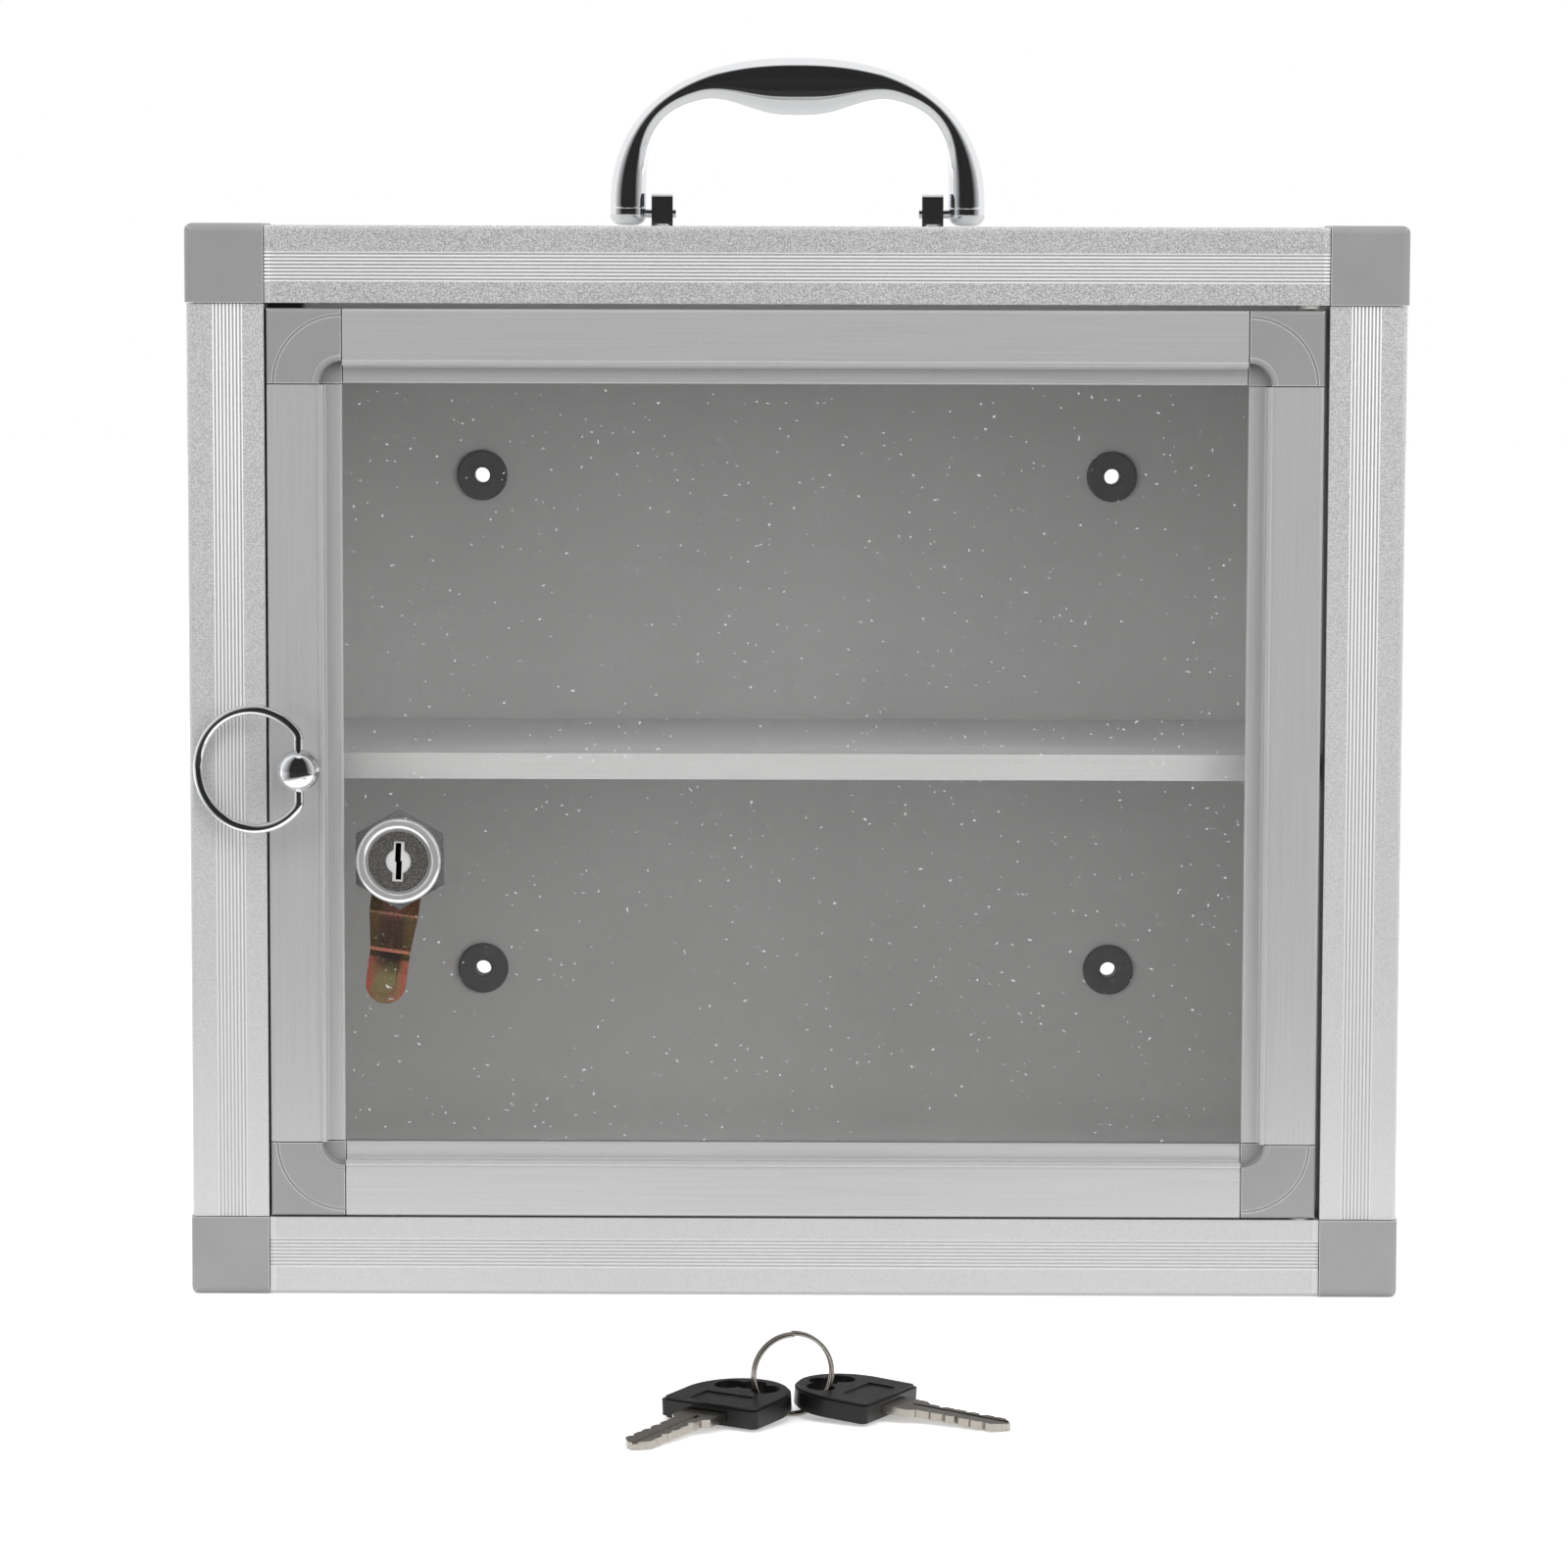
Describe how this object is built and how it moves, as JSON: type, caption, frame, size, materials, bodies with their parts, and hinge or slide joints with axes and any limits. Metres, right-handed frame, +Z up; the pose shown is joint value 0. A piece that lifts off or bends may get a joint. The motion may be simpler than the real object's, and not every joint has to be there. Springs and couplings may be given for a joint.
{
  "type": "wall-mounted medicine cabinet",
  "caption": "Wall-mounted lockable first-aid cabinet with a glazed hinged door, a fixed shelf, a folding carry handle, a ring pull and a cam lock with loose keys",
  "frame": {"origin": "centre of the four wall holes, on the wall plane behind the case", "axes": "+X to the right seen from the front, +Y back into the wall, +Z up"},
  "size_m": [0.321, 0.3238, 0.3295],
  "materials": {
    "anodised_aluminium": "satin anodised, fine sand-blasted grain",
    "bright_aluminium": "satin anodised extrusion, drawn lengthways",
    "corner_plastic": "satin grey moulding",
    "aluminium_sheet": "satin anodised composite panel",
    "black_rubber": "soft black rubber",
    "white_nylon": "natural nylon",
    "zinc_steel": "zinc-plated steel",
    "polished_chrome": "mirror-bright chrome",
    "window_glass": "clear float glass",
    "lock_face_zinc": "fine-grained dark grey",
    "yellow_zinc": "yellow passivated zinc, iridescent",
    "nickel": "bright nickel plate",
    "key_head_plastic": "black satin moulding"
  },
  "bodies": {
    "root": {"rail_front_top": "anodised_aluminium", "rail_front_bottom": "anodised_aluminium", "rail_front_left": "anodised_aluminium", "rail_front_right": "anodised_aluminium", "rail_rear_top": "anodised_aluminium", "rail_rear_bottom": "anodised_aluminium", "rail_rear_left": "anodised_aluminium", "rail_rear_right": "anodised_aluminium", "rail_depth_top_left": "anodised_aluminium", "rail_depth_top_right": "anodised_aluminium", "rail_depth_bottom_left": "anodised_aluminium", "rail_depth_bottom_right": "anodised_aluminium", "corner_front_top_left": "corner_plastic", "corner_front_top_right": "corner_plastic", "corner_front_bottom_left": "corner_plastic", "corner_front_bottom_right": "corner_plastic", "corner_rear_top_left": "corner_plastic", "corner_rear_top_right": "corner_plastic", "corner_rear_bottom_left": "corner_plastic", "corner_rear_bottom_right": "corner_plastic", "top_panel": "aluminium_sheet", "bottom_panel": "aluminium_sheet", "left_panel": "aluminium_sheet", "right_panel": "aluminium_sheet", "back_panel": "aluminium_sheet", "shelf_board": "aluminium_sheet", "wall_grommets": "black_rubber", "shelf_edge_trim": "bright_aluminium", "shelf_angles": "bright_aluminium", "shelf_screws": "zinc_steel", "pivot_bushes": "white_nylon", "door_stops": "black_rubber", "handle_brackets": "bright_aluminium", "handle_rivets": "zinc_steel"},
    "door": {"door_stile_left": "bright_aluminium", "door_stile_right": "bright_aluminium", "door_rail_top": "bright_aluminium", "door_rail_bottom": "bright_aluminium", "door_corner_top_left": "corner_plastic", "door_corner_top_right": "corner_plastic", "door_corner_bottom_left": "corner_plastic", "door_corner_bottom_right": "corner_plastic", "door_glass": "window_glass", "pivot_pins": "zinc_steel", "lock_body": "polished_chrome", "lock_nut": "polished_chrome", "pull_base": "polished_chrome", "pull_ball": "polished_chrome", "pull_screw": "zinc_steel"},
    "lock_barrel": {"lock_face": "lock_face_zinc", "lock_plug": "polished_chrome", "lock_cam": "yellow_zinc", "lock_cam_screw": "zinc_steel"},
    "pull_ring": {"pull_ring": "polished_chrome"},
    "handle": {"handle_grip": "polished_chrome", "handle_foot_left": "polished_chrome", "handle_foot_right": "polished_chrome"},
    "keys": {"key_heads": "key_head_plastic", "key_blades": "nickel", "split_ring": "nickel"}
  },
  "joints": [
    {"name": "door_hinge", "type": "hinge", "parent": "root", "child": "door", "pos_m": [0.1345, -0.131, 0], "axis": [0, 0, 1], "range_deg": [0, 110]},
    {"name": "lock_turn", "type": "hinge", "parent": "door", "child": "lock_barrel", "pos_m": [-0.105, -0.1215, -0.026], "axis": [0, 1, 0], "range_deg": [0, 90]},
    {"name": "ring_swing", "type": "hinge", "parent": "door", "child": "pull_ring", "pos_m": [-0.1303, -0.1437, -0.001], "axis": [0, 0, 1], "range_deg": [0, 150]},
    {"name": "handle_fold", "type": "hinge", "parent": "root", "child": "handle", "pos_m": [0, -0.0675, 0.1452], "axis": [1, 0, 0], "range_deg": [-84, 84]},
    {"name": "keys_lift", "type": "slide", "parent": "root", "child": "keys", "axis": [0, 0, 1], "range_m": [0, 0.05]}
  ]
}
